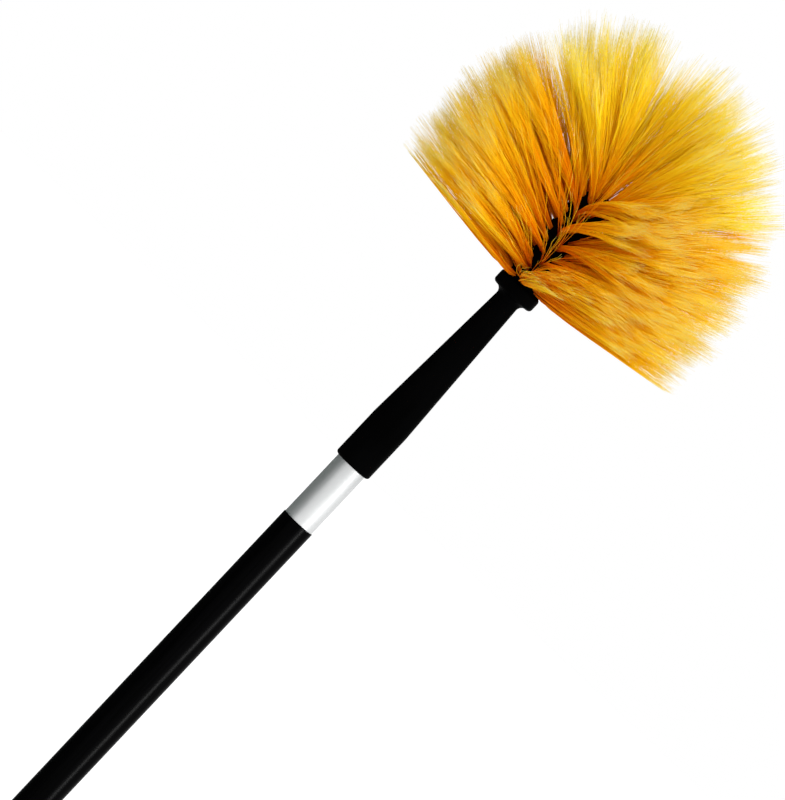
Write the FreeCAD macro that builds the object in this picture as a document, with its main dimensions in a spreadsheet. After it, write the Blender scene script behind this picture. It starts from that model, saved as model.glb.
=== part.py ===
import FreeCAD, Part
import math
import os

import Sketcher

# A cobweb brush on a telescopic pole, in millimetres. The pole stands along +Z with the brush head up,
# and the origin is the centre of the hanging hole in the cap at the pole's lower end.
doc = FreeCAD.newDocument("cobweb_brush")
sheet = doc.addObject("Spreadsheet::Sheet", "dim")

driving_sizes = [
    ("eye_hole_d", 8.0, "hanging hole"),
    ("eye_inset", 2.0, "hanging eye inside the tube's outline, each side"),
    ("eye_t", 8.0, "thickness of the hanging eye"),
    ("eye_round", 2.0, "rounding of the eye's edges"),
    ("eye_drop", 14.0, "hole centre to the cap's flange"),
    ("cap_flange_h", 4.0, "height of the cap's flange"),
    ("cap_flange_round", 1.2, "rounding of the flange's lower edge"),
    ("cap_plug_len", 24.0, "cap's plug inside the tube"),
    ("cap_barb_depth", 1.3, "depth of the barbs on the cap's plug"),
    ("cap_barb_h", 3.0, "height of one barb"),
    ("cap_barb_pitch", 7.0, "spacing of the barbs"),
    ("tube_od", 22.0, "outer tube, outside"),
    ("tube_wall", 0.4, "wall of both tubes"),
    ("outer_len", 660.0, "outer tube"),
    ("slide_gap", 0.1, "radial gap between the tubes"),
    ("lock_rise", 49.0, "lock above the cap's plug, with the pole nearly closed"),
    ("inner_show", 46.0, "inner tube showing between the outer tube and the socket"),
    ("plug_fit", 0.05, "radial fit of plugs pressed into the tubes"),
    ("tip_shank_len", 28.0, "tip plug inside the inner tube"),
    ("tip_collar_h", 3.0, "collar of the tip plug"),
    ("tip_cover", 12.0, "length of inner tube covered by the socket"),
    ("tip_shoulder", 1.7, "step from the tip plug's collar in to the cone"),
    ("tip_narrowing", 4.0, "how much thinner the cone is at its top than at its foot"),
    ("tip_cone_len", 60.0, "cone"),
    ("tip_nose", 1.5, "chamfer on the cone's nose"),
    ("tip_wall", 2.8, "wall of the tip plug at the cone's top"),
    ("cone_fit", 0.1, "radial fit of the socket on the cone"),
    ("cone_end_gap", 4.0, "space above the cone in the socket"),
    ("socket_wall", 2.0, "wall of the socket at its open end"),
    ("socket_straight", 33.0, "straight part of the socket"),
    ("socket_taper", 104.5, "tapered part of the socket"),
    ("socket_neck_d", 15.4, "socket under the collar"),
    ("socket_round", 1.8, "rounding of the socket's open end"),
    ("socket_mouth_fit", 0.2, "radial gap of the socket round the inner tube"),
    ("collar_d", 29.2, "collar that carries the core"),
    ("collar_h", 9.5, "height of the collar"),
    ("collar_round", 2.4, "rounding of the collar's edges"),
    ("neck_flare", 4.0, "flare from the neck to the collar"),
    ("spigot_d", 12.0, "spigot of the core in the collar"),
    ("spigot_len", 9.0, "length of the spigot"),
    ("spigot_fit", 0.05, "radial fit of the spigot"),
    ("core_d", 27.0, "brush core"),
    ("core_straight", 58.0, "cylindrical part of the core"),
    ("trim_d", 212.0, "trimmed outline of the bristles"),
    ("first_ring_h", 3.4, "lowest tuft ring above the collar"),
    ("ring_pitch", 6.6, "spacing of the tuft rings"),
    ("tuft_pitch", 8.4, "spacing of the tufts round a ring"),
    ("lowest_lean_deg", 81.0, "lowest tufts from the pole axis, degrees"),
    ("highest_lean_deg", 60.0, "highest side tufts from the pole axis, degrees"),
    ("hole_d", 3.4, "tuft hole"),
    ("hole_depth", 6.0, "depth of a tuft hole"),
    ("tuft_fit", 0.1, "radial gap of a tuft in its hole"),
    ("tuft_crown", 2.5, "rounded crown of a trimmed tuft"),
    ("anchor_w", 1.2, "flat wire anchor, width"),
    ("anchor_t", 0.5, "flat wire anchor, thickness"),
    ("spindle_shank_len", 22.0, "lock spindle inside the inner tube"),
    ("spindle_collar_h", 3.0, "collar of the lock spindle"),
    ("journal_d", 11.0, "eccentric journal of the lock"),
    ("journal_len", 14.0, "length of the journal"),
    ("journal_offset", 0.8, "eccentricity of the journal"),
    ("journal_gap", 0.5, "radial play of the lock ring on its journal"),
    ("ring_end_gap", 0.3, "end play of the lock ring"),
    ("ring_slit", 2.5, "slit of the lock ring"),
    ("end_disc_inset", 1.0, "disc under the lock ring, inside the tube's outline"),
    ("end_disc_h", 3.0, "thickness of the disc"),
    ("overrun", 5.0, "how far a cut runs past its wall"),
]
for row, (alias, number, meaning) in enumerate(driving_sizes, start=1):
    sheet.set(f"A{row}", meaning)
    sheet.set(f"B{row}", str(number))
    sheet.setAlias(f"B{row}", alias)
doc.recompute()

# Counts and shares that give the brush head its character.
tuft_sides = 8
side_rings = 9
dome_steps = 4
tuft_spread_share = 1.4
tuft_crown_share = 0.6
first_tuft_share = 0.5
# How near an edge has to lie to the rim that is looked for.
rim_tolerance = 1e-4

# Places along the pole and sizes that follow from the sheet, as formulas of its cells.
tube_id = "(dim.tube_od - 2 * dim.tube_wall)"
inner_od = f"({tube_id} - 2 * dim.slide_gap)"
inner_id = f"({inner_od} - 2 * dim.tube_wall)"
plug_d = f"({inner_id} - 2 * dim.plug_fit)"
eye_w = "(dim.tube_od - 2 * dim.eye_inset)"
cone_base_d = f"({inner_od} - 2 * dim.tip_shoulder)"
cone_top_d = f"({cone_base_d} - dim.tip_narrowing)"
mouth_d = f"({inner_od} + 2 * dim.socket_mouth_fit)"
socket_d = f"({mouth_d} + 2 * dim.socket_wall)"
tube_foot = "(dim.eye_drop + dim.cap_flange_h)"
tube_mouth = f"({tube_foot} + dim.outer_len)"
socket_foot = f"({tube_mouth} + dim.inner_show)"
inner_top = f"({socket_foot} + dim.tip_cover)"
socket_len = "(dim.socket_straight + dim.socket_taper + dim.collar_h)"
collar_top = f"({socket_foot} + {socket_len})"
lock_len = "(dim.end_disc_h + dim.journal_len + dim.spindle_collar_h)"
lock_foot = f"({tube_foot} + dim.cap_plug_len + dim.lock_rise)"
inner_foot = f"({lock_foot} + {lock_len})"
inner_len = f"({inner_top} - {inner_foot})"


def value(formula):
    result = sheet.evalExpression(formula)
    return float(getattr(result, "Value", result))


def new_body(label, height=None):
    body = doc.addObject("PartDesign::Body", label)
    if height:
        body.setExpression("Placement.Base.z", height)
    return body


def new_sketch(body, name, role, height=None):
    sketch = body.newObject("Sketcher::SketchObject", name)
    plane = next(item for item in body.Origin.OriginFeatures if item.Role == role)
    sketch.AttachmentSupport = [(plane, "")]
    sketch.MapMode = "FlatFace"
    if height:
        sketch.setExpression("AttachmentOffset.Base.z", height)
    return sketch


def bind(sketch, kind, where, name, formula):
    index = sketch.addConstraint(Sketcher.Constraint(kind, *where, value(formula)))
    sketch.renameConstraint(index, name)
    sketch.setExpression(f"Constraints.{name}", formula)


def circle(sketch, name, diameter, offset=None):
    disc = Part.Circle(FreeCAD.Vector(), FreeCAD.Vector(0, 0, 1), value(diameter) / 2)
    index = sketch.addGeometry(disc)
    if offset:
        sketch.addConstraint(Sketcher.Constraint("PointOnObject", index, 3, -1))
        bind(sketch, "DistanceX", (-1, 1, index, 3), f"{name}_offset", offset)
    else:
        sketch.addConstraint(Sketcher.Constraint("Coincident", index, 3, -1, 1))
    bind(sketch, "Diameter", (index,), f"{name}_d", diameter)


# Draws a closed outline of straight lines through corners given as pairs of formulas, "0" on an axis.
def outline(sketch, corners):
    spots = [FreeCAD.Vector(value(x), value(y), 0) for x, y in corners]
    first = sketch.GeometryCount
    count = len(spots)
    for i in range(count):
        sketch.addGeometry(Part.LineSegment(spots[i], spots[(i + 1) % count]))
    for i in range(count):
        following = first + (i + 1) % count
        sketch.addConstraint(Sketcher.Constraint("Coincident", first + i, 2, following, 1))
    for i, (x, y) in enumerate(corners):
        line = first + i
        if x == "0":
            sketch.addConstraint(Sketcher.Constraint("PointOnObject", line, 1, -2))
        else:
            bind(sketch, "DistanceX", (-1, 1, line, 1), f"x{i}", x)
        if y == "0":
            sketch.addConstraint(Sketcher.Constraint("PointOnObject", line, 1, -1))
        else:
            bind(sketch, "DistanceY", (-1, 1, line, 1), f"y{i}", y)


def pad(body, name, sketch, length, both_ways=False):
    feature = body.newObject("PartDesign::Pad", name)
    feature.Profile = sketch
    feature.setExpression("Length", length)
    feature.Midplane = both_ways
    doc.recompute()
    return feature


def revolve(body, name, sketch):
    feature = body.newObject("PartDesign::Revolution", name)
    feature.Profile = sketch
    feature.ReferenceAxis = (sketch, ["V_Axis"])
    doc.recompute()
    return feature


# Cuts half the length to each side of the sketch.
def pocket(body, name, sketch, length):
    before = body.Shape.Volume
    feature = body.newObject("PartDesign::Pocket", name)
    feature.Profile = sketch
    feature.setExpression("Length", length)
    feature.Midplane = True
    doc.recompute()
    assert body.Shape.Volume < before, f"{name} cuts nothing"
    return feature


# Rounds the circular edges of the last feature that lie at the given pairs of radius and height.
def round_rims(body, name, rims, radius):
    base = body.Tip
    names = []
    for i, edge in enumerate(base.Shape.Edges, start=1):
        if edge.Curve.TypeId != "Part::GeomCircle":
            continue
        for rim_radius, rim_height in rims:
            off_radius = abs(edge.Curve.Radius - value(rim_radius))
            off_height = abs(edge.Curve.Center.z - value(rim_height))
            if max(off_radius, off_height) < rim_tolerance:
                names.append(f"Edge{i}")
    assert names, f"{name} finds no rim"
    feature = body.newObject("PartDesign::Fillet", name)
    feature.Base = (base, names)
    feature.setExpression("Radius", radius)
    doc.recompute()
    return feature


# The two plain tubes of the pole.
def tube(label, foot, outside, length):
    body = new_body(label, foot)
    sketch = new_sketch(body, f"{label}_section", "XY_Plane")
    circle(sketch, "outside", outside)
    circle(sketch, "bore", f"{outside} - 2 * dim.tube_wall")
    pad(body, f"{label}_pad", sketch, length)
    return body


# The flat hanging eye of the cap: a tab with a round bow, its edges rounded on both faces.
def hanging_eye(body):
    sketch = new_sketch(body, "eye_outline", "XZ_Plane")
    bow_r = value(f"{eye_w} / 2")
    rise = value("dim.eye_drop + dim.cap_flange_h")
    bow = Part.Circle(FreeCAD.Vector(), FreeCAD.Vector(0, 0, 1), bow_r)
    sketch.addGeometry(Part.ArcOfCircle(bow, math.pi, 2 * math.pi))
    spots = [FreeCAD.Vector(bow_r, 0, 0), FreeCAD.Vector(bow_r, rise, 0)]
    spots += [FreeCAD.Vector(-bow_r, rise, 0), FreeCAD.Vector(-bow_r, 0, 0)]
    for start, end in zip(spots, spots[1:]):
        sketch.addGeometry(Part.LineSegment(start, end))
    sketch.addConstraint(Sketcher.Constraint("Coincident", 0, 3, -1, 1))
    for line in range(4):
        sketch.addConstraint(Sketcher.Constraint("Coincident", line, 2, (line + 1) % 4, 1))
    for upright in (1, 3):
        sketch.addConstraint(Sketcher.Constraint("Vertical", upright))
    sketch.addConstraint(Sketcher.Constraint("Horizontal", 2))
    sketch.addConstraint(Sketcher.Constraint("PointOnObject", 0, 2, -1))
    sketch.addConstraint(Sketcher.Constraint("PointOnObject", 0, 1, -1))
    bind(sketch, "Radius", (0,), "bow", f"{eye_w} / 2")
    bind(sketch, "DistanceY", (-1, 1, 2, 1), "rise", "dim.eye_drop + dim.cap_flange_h")
    tab = pad(body, "eye", sketch, "dim.eye_t", both_ways=True)
    rim = []
    for i, edge in enumerate(tab.Shape.Edges, start=1):
        in_a_face = edge.BoundBox.YLength < edge.BoundBox.ZLength
        if in_a_face and edge.BoundBox.ZMin < rise:
            rim.append(f"Edge{i}")
    rounding = body.newObject("PartDesign::Fillet", "eye_rounding")
    rounding.Base = (tab, rim)
    rounding.setExpression("Radius", "dim.eye_round")
    doc.recompute()
    hole = new_sketch(body, "hole_outline", "XZ_Plane")
    circle(hole, "hole", "dim.eye_hole_d")
    pocket(body, "hanging_hole", hole, "dim.eye_t + 2 * dim.overrun")


# The cap at the lower end: the hanging eye, a flange as wide as the tube, and a barbed plug in the tube.
def end_cap():
    body = new_body("end_cap")
    hanging_eye(body)
    barb_r = f"({tube_id} / 2 - dim.plug_fit)"
    plug_r = f"({tube_id} / 2 - dim.cap_barb_depth)"
    plug_top = f"({tube_foot} + dim.cap_plug_len)"
    corners = [("0", "dim.eye_drop"), ("dim.tube_od / 2", "dim.eye_drop"), ("dim.tube_od / 2", tube_foot)]
    for i in range(int(value("dim.cap_plug_len / dim.cap_barb_pitch"))):
        barb_foot = f"{tube_foot} + {i} * dim.cap_barb_pitch"
        barb_top = f"{barb_foot} + dim.cap_barb_h"
        corners += [(plug_r, barb_foot), (barb_r, barb_foot), (plug_r, barb_top)]
    corners += [(plug_r, plug_top), ("0", plug_top)]
    sketch = new_sketch(body, "plug_outline", "XZ_Plane")
    outline(sketch, corners)
    revolve(body, "plug", sketch)
    round_rims(body, "flange_round", [("dim.tube_od / 2", "dim.eye_drop")], "dim.cap_flange_round")
    return body


# The plug at the inner tube's lower end, with the eccentric journal that the lock ring turns on.
def lock_spindle():
    body = new_body("lock_spindle", lock_foot)
    collar_foot = "(dim.end_disc_h + dim.journal_len)"
    steps = [
        ("end_disc", f"{inner_od} - 2 * dim.end_disc_inset", "dim.end_disc_h", None, None),
        ("journal", "dim.journal_d", "dim.journal_len", "dim.end_disc_h", "dim.journal_offset"),
        ("collar", inner_od, "dim.spindle_collar_h", collar_foot, None),
        ("shank", plug_d, "dim.spindle_shank_len", f"{collar_foot} + dim.spindle_collar_h", None),
    ]
    for name, diameter, length, height, offset in steps:
        sketch = new_sketch(body, f"spindle_{name}_section", "XY_Plane", height)
        circle(sketch, name, diameter, offset)
        pad(body, f"spindle_{name}", sketch, length)
    return body


# The split ring that the journal wedges against the outer tube when the pole is twisted.
def lock_ring():
    body = new_body("lock_ring", f"{lock_foot} + dim.end_disc_h + dim.ring_end_gap")
    height = "(dim.journal_len - 2 * dim.ring_end_gap)"
    disc = new_sketch(body, "ring_section", "XY_Plane")
    circle(disc, "outside", inner_od)
    pad(body, "ring_pad", disc, height)
    bore = new_sketch(body, "ring_bore_section", "XY_Plane")
    circle(bore, "bore", "dim.journal_d + 2 * dim.journal_gap", "dim.journal_offset")
    pocket(body, "ring_bore", bore, "2 * dim.journal_len")
    slit = new_sketch(body, "ring_slit_section", "XZ_Plane")
    corners = [("0", "0"), (f"{inner_od}", "0"), (f"{inner_od}", height), ("0", height)]
    outline(slit, corners)
    pocket(body, "ring_slit_cut", slit, "dim.ring_slit")
    return body


# The plug at the inner tube's upper end: a shank in the tube, a collar, and the cone that holds the head.
def tip_cone():
    body = new_body("tip_cone", f"{inner_top} - dim.tip_shank_len")
    bore_r = f"({cone_top_d} / 2 - dim.tip_wall)"
    cone_foot = "(dim.tip_shank_len + dim.tip_collar_h)"
    cone_top = f"({cone_foot} + dim.tip_cone_len)"
    corners = [
        (bore_r, "0"),
        (f"{plug_d} / 2", "0"),
        (f"{plug_d} / 2", "dim.tip_shank_len"),
        (f"{inner_od} / 2", "dim.tip_shank_len"),
        (f"{inner_od} / 2", cone_foot),
        (f"{cone_base_d} / 2", cone_foot),
        (f"{cone_top_d} / 2", f"{cone_top} - dim.tip_nose"),
        (f"{cone_top_d} / 2 - dim.tip_nose", cone_top),
        (bore_r, cone_top),
    ]
    sketch = new_sketch(body, "tip_outline", "XZ_Plane")
    outline(sketch, corners)
    revolve(body, "tip", sketch)
    return body


# The tapered socket: open at its foot for the tube and the cone, with the collar and its bore on top.
def handle_socket():
    body = new_body("handle_socket", socket_foot)
    mouth_r = f"{mouth_d} / 2"
    step = "(dim.tip_cover + dim.tip_collar_h)"
    bore_top = f"({step} + dim.tip_cone_len + dim.cone_end_gap)"
    slope = "(dim.tip_narrowing / 2 / (dim.tip_cone_len - dim.tip_nose))"
    bore_foot_r = f"({cone_base_d} / 2 + dim.cone_fit)"
    bore_top_r = f"({bore_foot_r} - {slope} * (dim.tip_cone_len + dim.cone_end_gap))"
    neck = "(dim.socket_straight + dim.socket_taper)"
    spigot_r = "(dim.spigot_d / 2 + dim.spigot_fit)"
    spigot_floor = f"({socket_len} - dim.spigot_len)"
    corners = [
        (mouth_r, "0"),
        (f"{socket_d} / 2", "0"),
        (f"{socket_d} / 2", "dim.socket_straight"),
        ("dim.socket_neck_d / 2", neck),
        ("dim.collar_d / 2", neck),
        ("dim.collar_d / 2", socket_len),
        (spigot_r, socket_len),
        (spigot_r, spigot_floor),
        ("0", spigot_floor),
        ("0", bore_top),
        (bore_top_r, bore_top),
        (bore_foot_r, step),
        (mouth_r, step),
    ]
    sketch = new_sketch(body, "socket_outline", "XZ_Plane")
    outline(sketch, corners)
    revolve(body, "socket", sketch)
    round_rims(body, "foot_round", [(f"{socket_d} / 2", "0")], "dim.socket_round")
    collar_rims = [("dim.collar_d / 2", neck), ("dim.collar_d / 2", socket_len)]
    round_rims(body, "collar_rounds", collar_rims, "dim.collar_round")
    round_rims(body, "neck_flare", [("dim.socket_neck_d / 2", neck)], "dim.neck_flare")
    return body


# How far a leaning tuft runs from its root on the core to the trimmed outline, a cylinder under a dome.
def tuft_reach(root_r, root_h, lean):
    trim_r = value("dim.trim_d / 2")
    rise = root_h - value("dim.core_straight")
    if math.sin(lean) > 0:
        to_wall = (trim_r - root_r) / math.sin(lean)
        if rise + to_wall * math.cos(lean) <= 0:
            return to_wall
    along = root_r * math.sin(lean) + rise * math.cos(lean)
    return math.sqrt(along ** 2 + trim_r ** 2 - root_r ** 2 - rise ** 2) - along


# Every ring of tufts from the foot of the core to its crown: root radius and height, lean and count.
def tuft_rings():
    core_r = value("dim.core_d / 2")
    lowest = math.radians(value("dim.lowest_lean_deg"))
    highest = math.radians(value("dim.highest_lean_deg"))
    places = []
    for i in range(side_rings):
        height = value("dim.first_ring_h") + i * value("dim.ring_pitch")
        places.append((core_r, height, lowest + (highest - lowest) * i / (side_rings - 1)))
    for i in range(1, dome_steps + 1):
        left_share = 1 - i / dome_steps
        polar = math.pi / 2 * left_share
        height = value("dim.core_straight") + core_r * math.cos(polar)
        places.append((core_r * math.sin(polar), height, highest * left_share))
    rings = []
    for i, (radius, height, lean) in enumerate(places):
        half_count = round(math.pi * radius / value("dim.tuft_pitch"))
        rings.append((radius, height, lean, max(1, 2 * half_count), i % 2))
    return rings


# Copies of a shape standing on +Z, one for each tuft of a ring: leaned, moved to the root and turned round.
def round_the_core(shape, ring):
    radius, height, lean, count, staggered = ring
    turn = 360 / count
    copies = []
    for i in range(count):
        azimuth = FreeCAD.Rotation(FreeCAD.Vector(0, 0, 1), turn * (i + staggered / 2 + first_tuft_share))
        leaning = FreeCAD.Rotation(FreeCAD.Vector(0, 1, 0), math.degrees(lean))
        spot = azimuth.multVec(FreeCAD.Vector(radius, 0, height))
        copy = shape.copy()
        copy.Placement = FreeCAD.Placement(spot, azimuth.multiply(leaning))
        copies.append(copy)
    return copies


def octagon(radius, height):
    spots = []
    for i in range(tuft_sides + 1):
        angle = 2 * math.pi * i / tuft_sides
        spots.append(FreeCAD.Vector(radius * math.cos(angle), radius * math.sin(angle), height))
    return spots


# One flared bundle of bristles along +Z, pinched at its anchor and rounded where it is trimmed.
def tuft(reach):
    floor = value("dim.anchor_t - dim.hole_depth")
    mouth_r = value("dim.hole_d / 2 - dim.tuft_fit")
    tip_r = tuft_spread_share * value("dim.ring_pitch")
    shoulder = reach - value("dim.tuft_crown")
    root_r = mouth_r + (tip_r - mouth_r) * floor / shoulder
    sections = [octagon(root_r, floor), octagon(tip_r, shoulder), octagon(tip_r * tuft_crown_share, reach)]
    faces = [Part.Face(Part.makePolygon(sections[0][::-1])), Part.Face(Part.makePolygon(sections[-1]))]
    for lower, upper in zip(sections, sections[1:]):
        for i in range(tuft_sides):
            side = [lower[i], lower[i + 1], upper[i + 1], upper[i], lower[i]]
            faces.append(Part.Face(Part.makePolygon(side)))
    return Part.makeSolid(Part.makeShell(faces))


def tuft_hole():
    floor = Part.Face(Part.makePolygon(octagon(value("dim.hole_d / 2"), value("-dim.hole_depth"))))
    return floor.extrude(FreeCAD.Vector(0, 0, value("dim.hole_depth + dim.overrun")))


# The flat wire anchor that lies across the floor of a tuft hole.
def anchor():
    width = value("dim.anchor_w")
    inside_r = value("dim.hole_d / 2 - dim.tuft_fit") * math.cos(math.pi / tuft_sides)
    length = 2 * math.sqrt(inside_r ** 2 - width ** 2 / 4)
    corner = FreeCAD.Vector(-length / 2, -width / 2, value("-dim.hole_depth"))
    return Part.makeBox(length, width, value("dim.anchor_t"), corner)


def solids(label, shapes):
    feature = doc.addObject("Part::Feature", label)
    feature.Shape = Part.makeCompound(shapes)
    feature.Placement = FreeCAD.Placement(FreeCAD.Vector(0, 0, value(collar_top)), FreeCAD.Rotation())
    return feature


# The bullet-shaped core, with a spigot below and a drilled hole for every tuft.
def brush_core(rings):
    spigot = doc.addObject("Part::Cylinder", "core_spigot")
    spigot.setExpression("Radius", "dim.spigot_d / 2")
    spigot.setExpression("Height", "dim.spigot_len")
    spigot.setExpression("Placement.Base.z", f"{collar_top} - dim.spigot_len")
    barrel = doc.addObject("Part::Cylinder", "core_barrel")
    barrel.setExpression("Radius", "dim.core_d / 2")
    barrel.setExpression("Height", "dim.core_straight")
    barrel.setExpression("Placement.Base.z", collar_top)
    dome = doc.addObject("Part::Sphere", "core_dome")
    dome.setExpression("Radius", "dim.core_d / 2")
    dome.Angle1 = 0
    dome.setExpression("Placement.Base.z", f"{collar_top} + dim.core_straight")
    blank = doc.addObject("Part::MultiFuse", "core_blank")
    blank.Shapes = [spigot, barrel, dome]
    blank.Refine = True
    drill = [hole for ring in rings for hole in round_the_core(tuft_hole(), ring)]
    core = doc.addObject("Part::Cut", "brush_core")
    core.Base = blank
    core.Tool = solids("core_drill", drill)
    doc.recompute()
    return core


sub_parts = [
    tube("outer_tube", tube_foot, "dim.tube_od", "dim.outer_len"),
    tube("inner_tube", inner_foot, inner_od, inner_len),
    end_cap(),
    lock_spindle(),
    lock_ring(),
    tip_cone(),
    handle_socket(),
]
rings = tuft_rings()
sub_parts.append(brush_core(rings))
for number, ring in enumerate(rings, start=1):
    label = "crown_tuft" if ring is rings[-1] else f"tuft_ring_{number}"
    sub_parts.append(solids(label, round_the_core(tuft(tuft_reach(*ring[:3])), ring)))
sub_parts.append(solids("tuft_anchors", [pin for ring in rings for pin in round_the_core(anchor(), ring)]))
doc.recompute()

for item in doc.Objects:
    assert "Invalid" not in item.State and "Error" not in item.State, f"{item.Label} failed"
os.makedirs("parts", exist_ok=True)
for item in sub_parts:
    assert not item.Shape.isNull() and item.Shape.isValid(), f"{item.Label} has no valid shape"
    item.Shape.exportStep(f"parts/{item.Label}.step")
    print(item.Label, len(item.Shape.Solids), round(item.Shape.Volume, 1))
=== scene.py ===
import math

import bpy
import numpy as np
from mathutils import Matrix, Vector


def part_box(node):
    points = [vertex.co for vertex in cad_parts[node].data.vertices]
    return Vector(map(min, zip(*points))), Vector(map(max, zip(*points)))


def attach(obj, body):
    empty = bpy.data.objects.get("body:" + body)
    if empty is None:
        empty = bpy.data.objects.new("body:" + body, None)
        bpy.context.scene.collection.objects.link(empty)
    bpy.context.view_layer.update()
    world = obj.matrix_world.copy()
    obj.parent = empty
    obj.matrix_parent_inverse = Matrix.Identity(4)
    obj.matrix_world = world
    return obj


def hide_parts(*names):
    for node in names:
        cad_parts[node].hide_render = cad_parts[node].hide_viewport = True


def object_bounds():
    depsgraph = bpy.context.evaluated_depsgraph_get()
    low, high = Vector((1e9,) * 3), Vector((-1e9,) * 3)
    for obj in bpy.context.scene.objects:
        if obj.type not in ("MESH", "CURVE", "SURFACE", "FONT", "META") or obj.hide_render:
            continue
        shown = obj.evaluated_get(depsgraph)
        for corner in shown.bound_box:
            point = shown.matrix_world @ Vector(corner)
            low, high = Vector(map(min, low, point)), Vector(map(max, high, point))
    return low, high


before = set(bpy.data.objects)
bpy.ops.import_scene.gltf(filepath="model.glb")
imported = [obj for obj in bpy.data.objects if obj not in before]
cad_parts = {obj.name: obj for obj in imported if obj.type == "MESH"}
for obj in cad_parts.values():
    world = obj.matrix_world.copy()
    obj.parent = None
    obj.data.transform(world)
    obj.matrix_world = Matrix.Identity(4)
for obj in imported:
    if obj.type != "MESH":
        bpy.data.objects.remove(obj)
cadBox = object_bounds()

print("frame loaded,", len(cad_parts), "nodes")


# materials

noiseSpan = (0.25, 0.75)  # nearly all values of a noise pattern lie in here


def startMaterial(name):
    material = bpy.data.materials.new(name)
    material.use_nodes = True
    return material, material.node_tree, material.node_tree.nodes["Principled BSDF"]


def addNode(tree, kind, **settings):
    node = tree.nodes.new(kind)
    for key, setting in settings.items():
        setattr(node, key, setting)
    return node


# object coordinates, stretched per axis before a texture reads them
def stretchedCoords(tree, stretch):
    coords = addNode(tree, "ShaderNodeTexCoord")
    mapping = addNode(tree, "ShaderNodeMapping")
    mapping.inputs["Scale"].default_value = stretch
    tree.links.new(coords.outputs["Object"], mapping.inputs["Vector"])
    return mapping.outputs["Vector"]


def noise(tree, scale, stretch=(1, 1, 1), detail=2.0):
    texture = addNode(tree, "ShaderNodeTexNoise")
    texture.inputs["Scale"].default_value = scale
    texture.inputs["Detail"].default_value = detail
    tree.links.new(stretchedCoords(tree, stretch), texture.inputs["Vector"])
    return texture.outputs["Fac"]


def ramp(tree, pattern, stops):
    node = addNode(tree, "ShaderNodeValToRGB")
    while len(node.color_ramp.elements) < len(stops):
        node.color_ramp.elements.new(1.0)
    for element, (place, colour) in zip(node.color_ramp.elements, stops):
        element.position = place
        element.color = (*colour, 1.0)
    tree.links.new(pattern, node.inputs["Fac"])
    return node.outputs["Color"]


# the base colour goes from dark to pale with the pattern
def mottle(tree, shader, pattern, finish):
    stops = list(zip(finish["stops"], (finish["dark"], finish["pale"])))
    tree.links.new(ramp(tree, pattern, stops), shader.inputs["Base Color"])


def roughen(tree, shader, pattern, finish):
    node = addNode(tree, "ShaderNodeMapRange")
    node.inputs["From Min"].default_value, node.inputs["From Max"].default_value = noiseSpan
    node.inputs["To Min"].default_value, node.inputs["To Max"].default_value = finish["roughness"]
    tree.links.new(pattern, node.inputs["Value"])
    tree.links.new(node.outputs["Result"], shader.inputs["Roughness"])


def bump(tree, shader, pattern, strength, depth):
    node = addNode(tree, "ShaderNodeBump")
    node.inputs["Strength"].default_value = strength
    node.inputs["Distance"].default_value = depth
    tree.links.new(pattern, node.inputs["Height"])
    tree.links.new(node.outputs["Normal"], shader.inputs["Normal"])


blackCoat = {
    "dark": (0.0002, 0.0002, 0.0002),
    "pale": (0.0006, 0.0006, 0.0007),
    "stops": (0.3, 0.75),
    "roughness": (0.26, 0.32),
    "gloss": 0.011,
    "peel": {"scale": 420.0},
    "streaks": {"scale": 12.0, "stretch": (60, 60, 1.5), "detail": 4.0},  # drawn along the tube
    "bump": {"strength": 0.05, "depth": 0.0002},
}


def makeBlackCoat():
    material, tree, shader = startMaterial("black_coat")
    peel = noise(tree, **blackCoat["peel"])
    streaks = noise(tree, **blackCoat["streaks"])
    mottle(tree, shader, streaks, blackCoat)
    roughen(tree, shader, streaks, blackCoat)
    shader.inputs["Specular IOR Level"].default_value = blackCoat["gloss"]
    bump(tree, shader, peel, **blackCoat["bump"])
    return material


brightSteel = {
    "dark": (0.55, 0.56, 0.56),
    "pale": (0.66, 0.67, 0.67),
    "stops": (0.25, 0.6),
    "roughness": (0.4, 0.54),
    "lines": {"scale": 40.0, "stretch": (90, 90, 1), "detail": 4.0},  # polished along the tube
    "clouds": {"scale": 60.0, "stretch": (1, 1, 0.3)},
    "bump": {"strength": 0.12, "depth": 0.0001},
}


def makeBrightSteel():
    material, tree, shader = startMaterial("bright_tube")
    lines = noise(tree, **brightSteel["lines"])
    clouds = noise(tree, **brightSteel["clouds"])
    mottle(tree, shader, clouds, brightSteel)
    shader.inputs["Metallic"].default_value = 1.0
    roughen(tree, shader, lines, brightSteel)
    bump(tree, shader, lines, **brightSteel["bump"])
    return material


mouldedBlack = {
    "dark": (0.0003, 0.0003, 0.0003),
    "pale": (0.0009, 0.0009, 0.001),
    "stops": (0.3, 0.7),
    "roughness": (0.42, 0.6),
    "gloss": 0.004,
    "grain": {"scale": 1500.0, "detail": 3.0},
    "flow": {"scale": 70.0, "stretch": (1, 1, 0.25)},  # flow marks of the moulding
    "bump": {"strength": 0.15, "depth": 0.0002},
}


def makeMouldedBlack():
    material, tree, shader = startMaterial("black_plastic")
    grain = noise(tree, **mouldedBlack["grain"])
    flow = noise(tree, **mouldedBlack["flow"])
    mottle(tree, shader, flow, mouldedBlack)
    roughen(tree, shader, grain, mouldedBlack)
    shader.inputs["Specular IOR Level"].default_value = mouldedBlack["gloss"]
    bump(tree, shader, grain, **mouldedBlack["bump"])
    return material


paleNylon = {
    "dark": (0.66, 0.63, 0.55),
    "pale": (0.8, 0.78, 0.71),
    "stops": (0.3, 0.7),
    "roughness": (0.32, 0.48),
    "clouds": {"scale": 160.0, "detail": 3.0},
    "bump": {"strength": 0.1, "depth": 0.0002},
}


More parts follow.
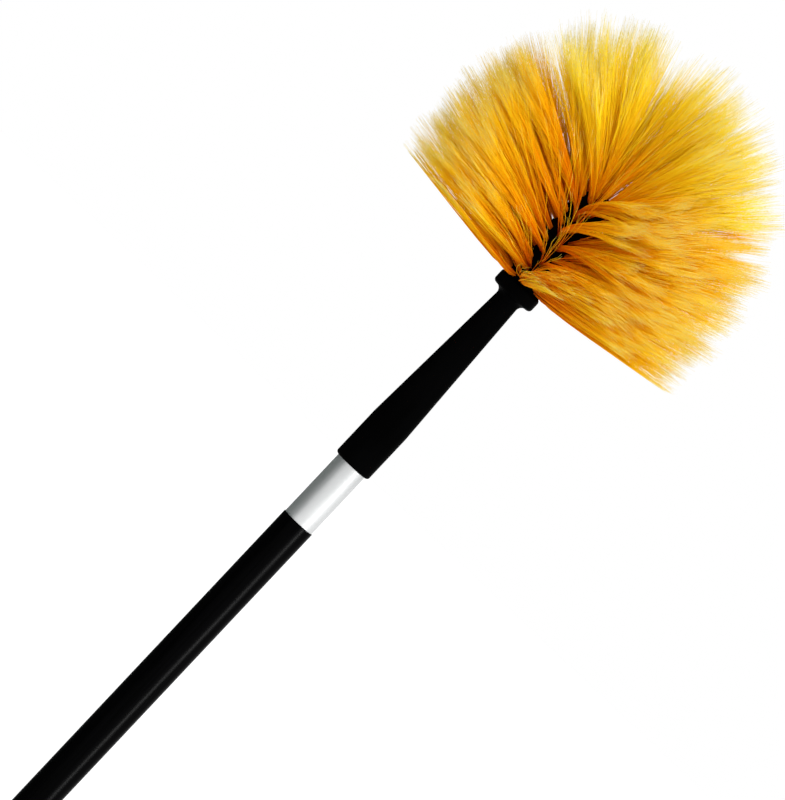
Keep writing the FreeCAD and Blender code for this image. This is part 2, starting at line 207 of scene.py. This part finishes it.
def makePaleNylon():
    material, tree, shader = startMaterial("white_plastic")
    clouds = noise(tree, **paleNylon["clouds"])
    mottle(tree, shader, clouds, paleNylon)
    roughen(tree, shader, clouds, paleNylon)
    bump(tree, shader, clouds, **paleNylon["bump"])
    return material


anchorWire = {
    "dark": (0.45, 0.42, 0.36),
    "pale": (0.7, 0.66, 0.56),
    "stops": (0.3, 0.7),
    "roughness": (0.3, 0.5),
    "drawn": {"scale": 2500.0},
}


def makeAnchorWire():
    material, tree, shader = startMaterial("anchor_wire")
    drawn = noise(tree, **anchorWire["drawn"])
    mottle(tree, shader, drawn, anchorWire)
    shader.inputs["Metallic"].default_value = 1.0
    roughen(tree, shader, drawn, anchorWire)
    return material


def dressNodes():
    finishes = {
        makeBlackCoat(): ["outer_tube"],
        makeBrightSteel(): ["inner_tube"],
        makeMouldedBlack(): ["handle_socket", "end_cap", "brush_core", "tip_cone"],
        makePaleNylon(): ["lock_spindle", "lock_ring"],
        makeAnchorWire(): ["tuft_anchors"],
    }
    for material, nodes in finishes.items():
        for node in nodes:
            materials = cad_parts[node].data.materials
            materials.clear()
            materials.append(material)
    print("solids dressed")


# colours from root to tip of the deepest and the palest bristles; the darker, more orange roots are
# painted shade of the depth between the bristles near the core, the paler tips are the flagged ends
bristleFinishAndPaintedShade = {
    "deep": [
        (0.0, (0.65, 0.08, 0.001)),
        (0.3, (0.9, 0.22, 0.001)),
        (0.6, (0.95, 0.36, 0.001)),
        (0.88, (0.96, 0.48, 0.002)),
        (1.0, (0.69, 0.5, 0.05)),
    ],
    "pale": [
        (0.0, (0.8, 0.16, 0.001)),
        (0.3, (0.97, 0.45, 0.001)),
        (0.6, (0.98, 0.71, 0.01)),
        (0.88, (0.98, 0.79, 0.02)),
        (1.0, (0.69, 0.62, 0.24)),
    ],
    "roughness": 0.5,
    "gloss": 0.01,
}


# the map's u runs from root to tip, and the colour along it darkens towards the root as painted shade;
# every band of its v is one shade of filament
def makeBristle(shades):
    material, tree, shader = startMaterial("bristle")
    place = addNode(tree, "ShaderNodeUVMap", uv_map=bristles["map"])
    split = addNode(tree, "ShaderNodeSeparateXYZ")
    tree.links.new(place.outputs["UV"], split.inputs["Vector"])
    # both ramps darken towards the root, painted shade of the depth near the core
    deep = ramp(tree, split.outputs["X"], bristleFinishAndPaintedShade["deep"])
    pale = ramp(tree, split.outputs["X"], bristleFinishAndPaintedShade["pale"])
    band = addNode(tree, "ShaderNodeMath", operation="MULTIPLY")
    band.inputs[1].default_value = shades
    tree.links.new(split.outputs["Y"], band.inputs[0])
    whole = addNode(tree, "ShaderNodeMath", operation="FLOOR")
    tree.links.new(band.outputs["Value"], whole.inputs[0])
    paleness = addNode(tree, "ShaderNodeMath", operation="DIVIDE")
    paleness.inputs[1].default_value = shades - 1
    tree.links.new(whole.outputs["Value"], paleness.inputs[0])
    mixed = addNode(tree, "ShaderNodeMix", data_type="RGBA")
    tree.links.new(paleness.outputs["Value"], mixed.inputs["Factor"])
    tree.links.new(deep, mixed.inputs["A"])
    tree.links.new(pale, mixed.inputs["B"])
    tree.links.new(mixed.outputs["Result"], shader.inputs["Base Color"])
    shader.inputs["Roughness"].default_value = bristleFinishAndPaintedShade["roughness"]
    shader.inputs["Specular IOR Level"].default_value = bristleFinishAndPaintedShade["gloss"]
    return material


# the brush head, rows of tufts from the collar up to the crown of the core

tuftRows = {
    "sideRows": 9,
    "domeSteps": 4,
    "firstHeight": 0.0034,
    "rowPitch": 0.0066,
    "tuftPitch": 0.0084,
    "phase": 0.5,
    "lowestLean": math.radians(81),
    "highestLean": math.radians(60),
    "trimRadius": 0.106,
    "holeDepth": 0.0055,
}

bristles = {
    "map": "OFBake",
    # tufts of the core's side and of its dome
    "side": {
        "stems": 140,
        "locks": 14,
        "tipSpread": 0.0145,
        "lockSize": 0.2,
        "lockTrim": 0.08,
        "shades": (0, 22),
    },
    "dome": {
        "stems": 230,
        "locks": 9,
        "tipSpread": 0.02,
        "lockSize": 0.3,
        "lockTrim": 0.13,
        "shades": (17, 32),
    },
    "ends": 2,  # each stem splits into these
    "steps": 6,
    "sides": 3,
    "rootRadius": 0.00024,
    "tipRadius": 0.00004,
    # how a tuft opens
    "rootSpread": 0.00125,
    "plump": (0.8, 1.15),
    "lowFlare": 0.45,
    "highFlare": 1.4,
    "lockReach": 0.95,
    "lockRound": 0.07,  # how much shorter the locks at a tuft's rim are
    "lockTrimPower": 2,
    "lowDroop": 0.0062,  # how far the lowest tufts spread downwards
    "highDroop": 0.03,
    # the parting, which opens between the heights partFoot and partTop
    "front": math.radians(256),
    "partWander": math.radians(12),
    "wanderFrom": 0.018,
    "wanderPitch": 0.06,
    "partWidth": math.radians(40),
    "partSweep": 0.066,
    "partPower": 1.3,
    "partFoot": 0.004,
    "partTop": 0.018,
    "lowPart": 0.2,
    "uncombed": 0.05,
    # lengths against the trimmed outline
    "lowLongest": 1.085,
    "highLongest": 1.175,
    "longFoot": 0.048,  # the trimmed side is straight up to the tufts of this height
    "longTop": 0.066,
    "lowJitter": 0.12,
    "highJitter": 0.28,
    "trimPower": 1.3,
    # each filament's own way
    "bend": 0.01,
    "bendPower": 2,
    "crimp": 0.00055,
    "crimpWaves": 4.0,
    "splitFrom": 0.66,
    "splitSpread": 0.0017,
    "splitPower": 1.5,
    "strayShare": 0.12,
    "strayReach": 1.8,
    "strayTrim": 0.3,
    "shades": 32,
    "tuftShade": 0.15,
    "ownShade": 0.25,
    "seed": 58,
}


def between(low, high, share):
    return low + (high - low) * share


# 0 up to the foot, 1 from the top, and even between them
def risen(height, foot, top):
    return min(max((height - foot) / (top - foot), 0), 1)


# how far a tuft runs from its root to the trimmed outline, a cylinder under a dome
def tuftReach(rootRadius, rootHeight, lean, coreStraight):
    trim = tuftRows["trimRadius"]
    rise = rootHeight - coreStraight
    if math.sin(lean) > 0:
        toWall = (trim - rootRadius) / math.sin(lean)
        if rise + toWall * math.cos(lean) <= 0:
            return toWall
    along = rootRadius * math.sin(lean) + rise * math.cos(lean)
    return math.sqrt(along**2 + trim**2 - rootRadius**2 - rise**2) - along


# radius, height over the collar and lean of every row, side rows first
def rowPlaces(coreRadius, coreStraight):
    lowest, highest = tuftRows["lowestLean"], tuftRows["highestLean"]
    places = []
    for i in range(tuftRows["sideRows"]):
        share = i / (tuftRows["sideRows"] - 1)
        height = tuftRows["firstHeight"] + i * tuftRows["rowPitch"]
        places.append((coreRadius, height, between(lowest, highest, share)))
    for i in range(1, tuftRows["domeSteps"] + 1):
        left = 1 - i / tuftRows["domeSteps"]
        polar = math.pi / 2 * left
        height = coreStraight + coreRadius * math.cos(polar)
        places.append((coreRadius * math.sin(polar), height, highest * left))
    return places


# the lock that every filament is in, the ends of one stem together
def lockNumbers(tuft):
    ends = bristles["ends"]
    return np.arange(ends * tuft["stems"]) % (ends * tuft["locks"]) // ends


# A filament's centre line runs from the floor of its hole along its tuft's direction, as far as its
# own length. Its place beside that direction is its lock's place in the tuft's disc plus its own in the
# lock, times the disc's radius, which opens from rootSpread to tipSpread as a power of the way out. A
# sine crimp, the tuft's own bend, which grows with a power of the way out, and the gap between the split
# ends are added to that. Locks are cut to different lengths, shorter towards the tuft's rim, and strays
# reach out of their lock and are cut again. Downwards the tuft spreads as a hyperbolic tangent, no
# further than its droop. Near the front, filaments are combed aside from a line that swings with the
# height as a cosine, by a bell curve of the angle to it. They run less far along the tuft, as the other
# leg of a right triangle, so they keep their length. A three-sided profile is carried along the line,
# thinner towards the tip.
def filamentGrid(radius, height, lean, reach, azimuths, collarTop, tuft, chance):
    b = bristles
    count, ends = len(azimuths), b["ends"] * tuft["stems"]
    fullTurn = 2 * math.pi
    zero = np.zeros(count)
    cosA, sinA = np.cos(azimuths), np.sin(azimuths)
    out = np.stack([math.sin(lean) * cosA, math.sin(lean) * sinA, zero + math.cos(lean)], -1)
    up = np.stack([math.cos(lean) * cosA, math.cos(lean) * sinA, zero - math.sin(lean)], -1)
    side = np.stack([-sinA, cosA, zero], -1)
    root = np.stack([radius * cosA, radius * sinA, zero + height], -1)

    overCollar = height - collarTop
    rise = risen(overCollar, b["partFoot"], b["partTop"])
    overSide = risen(overCollar, b["longFoot"], b["longTop"])

    def perStem(values):
        return np.repeat(values, b["ends"], axis=1)

    stems = (count, tuft["stems"])
    locks = (count, tuft["locks"])
    lockOf = lockNumbers(tuft)
    lockTurn = chance.uniform(0, fullTurn, locks)[:, lockOf]
    lockShare = b["lockReach"] * np.sqrt(chance.uniform(0, 1, locks))[:, lockOf]
    lockLength = 1 - tuft["lockTrim"] * chance.uniform(0, 1, locks)[:, lockOf] ** b["lockTrimPower"]
    lockLength = lockLength - b["lockRound"] * lockShare**2
    seatTurn = perStem(chance.uniform(0, fullTurn, stems))
    seatShare = tuft["lockSize"] * perStem(np.sqrt(chance.uniform(0, 1, stems)))
    stray = perStem(chance.uniform(0, 1, stems) < b["strayShare"])
    seatShare = np.where(stray, seatShare * b["strayReach"], seatShare)
    crimpTurn = perStem(chance.uniform(0, fullTurn, stems))
    crimpStart = perStem(chance.uniform(0, fullTurn, stems))
    splitTurn = chance.uniform(0, fullTurn, (count, ends))
    longest = between(b["lowLongest"], b["highLongest"], overSide)
    jitter = between(b["lowJitter"], b["highJitter"], overSide)
    lengthShare = longest - jitter * chance.uniform(0, 1, (count, ends)) ** b["trimPower"]
    lengthShare = lockLength * lengthShare
    strayLength = lengthShare * chance.uniform(b["strayTrim"], 1, stray.shape)
    lengthShare = np.where(stray, strayLength, lengthShare)
    bendTurn = chance.uniform(0, fullTurn, (count, 1))
    bendSize = b["bend"] * chance.uniform(0, 1, (count, 1))
    plump = chance.uniform(*b["plump"], (count, 1))

    t = np.linspace(0, 1, b["steps"] + 1)
    depth = tuftRows["holeDepth"]
    along = lengthShare[..., None] * (reach + depth) * t - depth
    way = np.clip(along / reach, 0, 1)
    flare = between(b["lowFlare"], b["highFlare"], rise)
    opening = between(b["rootSpread"], plump[..., None] * tuft["tipSpread"], way**flare)
    splitWay = np.clip((t - b["splitFrom"]) / (1 - b["splitFrom"]), 0, 1)
    splitGap = b["splitSpread"] * splitWay ** b["splitPower"]
    wave = b["crimp"] * way * np.sin(fullTurn * b["crimpWaves"] * t + crimpStart[..., None])

    wander = math.cos(fullTurn * (overCollar - b["wanderFrom"]) / b["wanderPitch"])
    front = b["front"] + b["partWander"] * wander
    fromFront = (azimuths - front + math.pi) % fullTurn - math.pi
    combed = math.sin(lean) * np.sign(fromFront) * np.exp(-((fromFront / b["partWidth"]) ** 2))
    combed = combed[:, None] * perStem(chance.uniform(0, 1, stems) > b["uncombed"])
    sweep = b["partSweep"] * between(b["lowPart"], 1, rise)
    combed = sweep * combed[..., None] * way ** b["partPower"]
    forward = np.where(along > 0, np.sqrt(np.maximum(along**2 - combed**2, 0)), along)

    def sideways(turn):
        away = (lockShare * turn(lockTurn) + seatShare * turn(seatTurn))[..., None] * opening
        away = away + turn(crimpTurn)[..., None] * wave + turn(splitTurn)[..., None] * splitGap
        return away + (bendSize * turn(bendTurn))[..., None] * way ** b["bendPower"]

    droop = between(b["lowDroop"], b["highDroop"], rise)
    lowered = sideways(np.cos)
    lowered = np.where(lowered > 0, droop * np.tanh(lowered / droop), lowered)
    thick = between(b["rootRadius"], b["tipRadius"], t)
    corners = fullTurn * np.arange(b["sides"]) / b["sides"]
    towardsUp = lowered[..., None] + thick[:, None] * np.cos(corners)
    towardsSide = (sideways(np.sin) + combed)[..., None] + thick[:, None] * np.sin(corners)
    spots = root[:, None, None, None] + forward[..., None, None] * out[:, None, None, None]
    spots = spots + towardsUp[..., None] * up[:, None, None, None]
    return spots + towardsSide[..., None] * side[:, None, None, None]


# quads along every filament, and a triangle that closes each of its two ends
def filamentFaces(filaments):
    steps, sides = bristles["steps"], bristles["sides"]
    first = np.arange(filaments)[:, None, None] * (steps + 1) * sides
    ring = np.arange(steps)[None, :, None] * sides
    corner = np.arange(sides)[None, None, :]
    following = (corner + 1) % sides
    quads = np.stack([first + ring + corner, first + ring + following], -1)
    quads = np.concatenate([quads, quads[..., ::-1] + sides], -1).reshape(-1, 4)
    roots = first[:, 0] + np.arange(sides)[::-1]
    tips = first[:, 0] + steps * sides + np.arange(sides)
    return quads, np.concatenate([roots, tips])


# u is the share of the filament's length, v a place in the band of its shade, clear of the band's edges
def filamentMap(shade):
    steps, sides, shades = bristles["steps"], bristles["sides"], bristles["shades"]
    capAlong = np.array([0.0, 0.0, 0.05])
    capAcross = np.array([0.2, 0.8, 0.5])
    band = shade.ravel()[:, None, None, None]
    u = (np.arange(steps)[:, None, None] + np.array([0, 0, 1, 1])) / steps
    v = (np.arange(sides)[:, None] + np.array([0, 1, 1, 0]) + 0.5) / (sides + 1)
    shape = (shade.size, steps, sides, 4)
    quadV = np.broadcast_to((band + v) / shades, shape)
    quadMap = np.stack([np.broadcast_to(u, shape), quadV], -1)
    capV = (band[:, 0, 0] + capAcross) / shades
    rootU = np.broadcast_to(capAlong, capV.shape)
    rootMap = np.stack([rootU, capV], -1)
    tipMap = np.stack([1 - rootU, capV], -1)
    return np.concatenate([quadMap.reshape(-1, 2), rootMap.reshape(-1, 2), tipMap.reshape(-1, 2)])


# most filaments have the shade of their lock, and some locks that of their tuft
def filamentShades(tufts, tuft, chance):
    ofTuft = chance.integers(*tuft["shades"], (tufts, 1))
    ofLock = chance.integers(*tuft["shades"], (tufts, tuft["locks"]))
    asTuft = chance.uniform(0, 1, ofLock.shape) < bristles["tuftShade"]
    ofLock = np.where(asTuft, ofTuft, ofLock)[:, lockNumbers(tuft)]
    own = chance.integers(*tuft["shades"], ofLock.shape)
    return np.where(chance.uniform(0, 1, ofLock.shape) < bristles["ownShade"], own, ofLock)


def meshFromGrid(name, spots, shade):
    quads, caps = filamentFaces(shade.size)
    corners = np.concatenate([quads.ravel(), caps.ravel()])
    sizes = np.concatenate([np.full(len(quads), 4), np.full(len(caps), 3)])
    mesh = bpy.data.meshes.new(name)
    mesh.vertices.add(spots.size // 3)
    mesh.vertices.foreach_set("co", spots.astype(np.float32).ravel())
    mesh.loops.add(len(corners))
    mesh.loops.foreach_set("vertex_index", corners.astype(np.int32))
    mesh.polygons.add(len(sizes))
    mesh.polygons.foreach_set("loop_start", (np.cumsum(sizes) - sizes).astype(np.int32))
    mesh.polygons.foreach_set("use_smooth", sizes == 4)
    layer = mesh.uv_layers.new(name=bristles["map"])
    layer.uv.foreach_set("vector", filamentMap(shade).astype(np.float32).ravel())
    mesh.update()
    mesh.validate()
    return mesh


def makeTufts(bristleMaterial):
    low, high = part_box("brush_core")
    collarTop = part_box("handle_socket")[1].z
    coreRadius = (high.x - low.x) / 2
    coreStraight = high.z - coreRadius - collarTop
    places = rowPlaces(coreRadius, coreStraight)
    for number, (radius, height, lean) in enumerate(places, start=1):
        node = "crown_tuft" if number == len(places) else f"tuft_ring_{number}"
        chance = np.random.default_rng(bristles["seed"] + number)
        count = max(1, 2 * round(math.pi * radius / tuftRows["tuftPitch"]))
        stagger = (number - 1) % 2 / 2  # every other row is half a pitch round
        azimuths = 2 * math.pi / count * (np.arange(count) + stagger + tuftRows["phase"])
        reach = tuftReach(radius, height, lean, coreStraight)
        tuft = bristles["side"] if number <= tuftRows["sideRows"] else bristles["dome"]
        root = height + collarTop
        spots = filamentGrid(radius, root, lean, reach, azimuths, collarTop, tuft, chance)
        mesh = meshFromGrid(node, spots, filamentShades(count, tuft, chance))
        piece = bpy.data.objects.new(f"{node}_bristles", mesh)
        piece.data.materials.append(bristleMaterial)
        bpy.context.scene.collection.objects.link(piece)
        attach(piece, "head")
        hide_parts(node)
    print("tufts made,", len(places), "rows")


# stage, light and camera

stage = {
    "floorSize": 24.0,
    "floorColour": (0.86, 0.86, 0.86),
    "floorGlow": 0.35,
    "surround": 0.6,
}


# 1 for what the camera, a reflection or a clear piece sees of the surroundings
def seenDirectly(tree):
    path = addNode(tree, "ShaderNodeLightPath")
    first = addNode(tree, "ShaderNodeMath", operation="MAXIMUM")
    tree.links.new(path.outputs["Is Camera Ray"], first.inputs[0])
    tree.links.new(path.outputs["Is Glossy Ray"], first.inputs[1])
    both = addNode(tree, "ShaderNodeMath", operation="MAXIMUM")
    tree.links.new(first.outputs["Value"], both.inputs[0])
    tree.links.new(path.outputs["Is Transmission Ray"], both.inputs[1])
    return both.outputs["Value"]


def makeSheet(name, corners, material):
    mesh = bpy.data.meshes.new(name)
    mesh.from_pydata(corners, [], [(0, 1, 2, 3)])
    mesh.materials.append(material)
    sheet = bpy.data.objects.new(name, mesh)
    bpy.context.scene.collection.objects.link(sheet)
    return sheet


# matt, with a glow that only the camera and reflections see
def makePaleFloor():
    material = bpy.data.materials.new("pale_floor")
    material.use_nodes = True
    tree = material.node_tree
    tree.nodes.remove(tree.nodes["Principled BSDF"])
    matt = addNode(tree, "ShaderNodeBsdfDiffuse")
    matt.inputs["Color"].default_value = (*stage["floorColour"], 1.0)
    glow = addNode(tree, "ShaderNodeEmission")
    level = addNode(tree, "ShaderNodeMath", operation="MULTIPLY")
    level.inputs[1].default_value = stage["floorGlow"]
    tree.links.new(seenDirectly(tree), level.inputs[0])
    tree.links.new(level.outputs["Value"], glow.inputs["Strength"])
    both = addNode(tree, "ShaderNodeAddShader")
    tree.links.new(matt.outputs["BSDF"], both.inputs[0])
    tree.links.new(glow.outputs["Emission"], both.inputs[1])
    tree.links.new(both.outputs["Shader"], tree.nodes["Material Output"].inputs["Surface"])
    return material


def makeFloor():
    half = stage["floorSize"] / 2
    ground = cadBox[0].z
    corners = [(x * half, y * half, ground) for x, y in [(-1, -1), (1, -1), (1, 1), (-1, 1)]]
    floor = makeSheet("floor", corners, makePaleFloor())


# a dark card to the left that only reflections see, so the metal shades off to that side
darkCard = {
    "left": 1.5,
    "front": 1.7,
    "back": 6.0,
    "low": -0.6,
    "high": 3.0,
    "colour": (0.08, 0.1, 0.095),
}


def makeDarkCard():
    x, front, back = -darkCard["left"], -darkCard["front"], darkCard["back"]
    low, high = darkCard["low"], darkCard["high"]
    material, _, shader = startMaterial("card_black")
    shader.inputs["Base Color"].default_value = (*darkCard["colour"], 1.0)
    corners = [(x, front, low), (x, back, low), (x, back, high), (x, front, high)]
    card = makeSheet("dark_card", corners, material)
    card.visible_camera = False
    card.visible_diffuse = False
    card.visible_shadow = False


def makeWorld():
    world = bpy.data.worlds.new("white_studio")
    bpy.context.scene.world = world
    world.use_nodes = True
    tree = world.node_tree
    level = addNode(tree, "ShaderNodeMapRange")
    level.inputs["To Min"].default_value = stage["surround"]
    level.inputs["To Max"].default_value = 1.0
    tree.links.new(seenDirectly(tree), level.inputs["Value"])
    background = tree.nodes["Background"]
    background.inputs["Color"].default_value = (1.0, 1.0, 1.0, 1.0)
    tree.links.new(level.outputs["Result"], background.inputs["Strength"])


# lamps stand round the brush, by the angle to the right of the camera and the height over the origin
lamps = {
    "key": {"right": 58, "distance": 2.2, "height": 1.3, "size": (1.0, 0.9), "power": 18},
    "back": {"right": 165, "distance": 2.4, "height": 1.5, "size": (1.4, 1.2), "power": 14},
    # draws the line of light on the black tube
    "strip": {
        "right": 56,
        "distance": 1.9,
        "height": 0.2,
        "size": (0.3, 1.4),
        "power": 90,
        "only": "outer_tube",
    },
    "fill": {"right": -50, "distance": 2.4, "height": 1.9, "size": (1.2, 1.2), "power": 3},
}
sunlight = {"right": 6, "elevation": 22, "strength": 2.65, "angle": math.radians(35)}


def aimed(spot, target):
    return (target - spot).to_track_quat("-Z", "Y").to_matrix().to_4x4()


def fromCamera(right):
    turn = math.radians(right)
    return Vector((math.sin(turn), -math.cos(turn), 0))


def makeLamps():
    for name, lamp in lamps.items():
        light = bpy.data.lights.new(name, "AREA")
        light.shape = "RECTANGLE"
        light.size, light.size_y = lamp["size"]
        light.energy = lamp["power"]
        spot = fromCamera(lamp["right"]) * lamp["distance"] + Vector((0, 0, lamp["height"]))
        turned = aimed(spot, Vector((0, 0, camera["target"])))
        holder = bpy.data.objects.new(name, light)
        holder.matrix_world = Matrix.Translation(spot) @ turned
        holder.visible_camera = False
        bpy.context.scene.collection.objects.link(holder)
        if "only" in lamp:
            lit = bpy.data.collections.new(f"lit_by_{name}")
            lit.objects.link(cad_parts[lamp["only"]])
            holder.light_linking.receiver_collection = lit
    light = bpy.data.lights.new("sun", "SUN")
    light.energy = sunlight["strength"]
    light.angle = sunlight["angle"]
    rise = math.radians(sunlight["elevation"])
    spot = fromCamera(sunlight["right"]) * math.cos(rise) + Vector((0, 0, math.sin(rise)))
    holder = bpy.data.objects.new("sun", light)
    holder.matrix_world = aimed(spot, Vector())
    holder.visible_glossy = False
    bpy.context.scene.collection.objects.link(holder)


camera = {
    "distance": 5.0,
    "elevation": math.radians(3),
    "roll": math.radians(43.25),  # the pole leans this far clockwise in the picture
    "target": 0.7688,
    "aside": -0.009,
    "lens": 388.5,
    "sensor": 36.0,
}


def makeCamera():
    data = bpy.data.cameras.new("camera")
    data.sensor_fit = "HORIZONTAL"
    data.sensor_width = camera["sensor"]
    data.lens = camera["lens"]
    holder = bpy.data.objects.new("camera", data)
    rise = camera["elevation"]
    back = Vector((0, -math.cos(rise), math.sin(rise)))
    level = Matrix.Rotation(math.pi / 2 - rise, 4, "X")
    roll = Matrix.Rotation(camera["roll"], 4, "Z")
    spot = Vector((camera["aside"], 0, camera["target"])) + back * camera["distance"]
    holder.matrix_world = Matrix.Translation(spot) @ level @ roll
    bpy.context.scene.collection.objects.link(holder)
    bpy.context.scene.camera = holder


bpy.context.scene.view_settings.view_transform = "Standard"
bpy.context.scene.cycles.diffuse_bounces = 10  # light goes on deep between the bristles
dressNodes()
makeTufts(makeBristle(bristles["shades"]))
makeFloor()
makeDarkCard()
makeWorld()
makeLamps()
makeCamera()
print("stage, lamps and camera set")
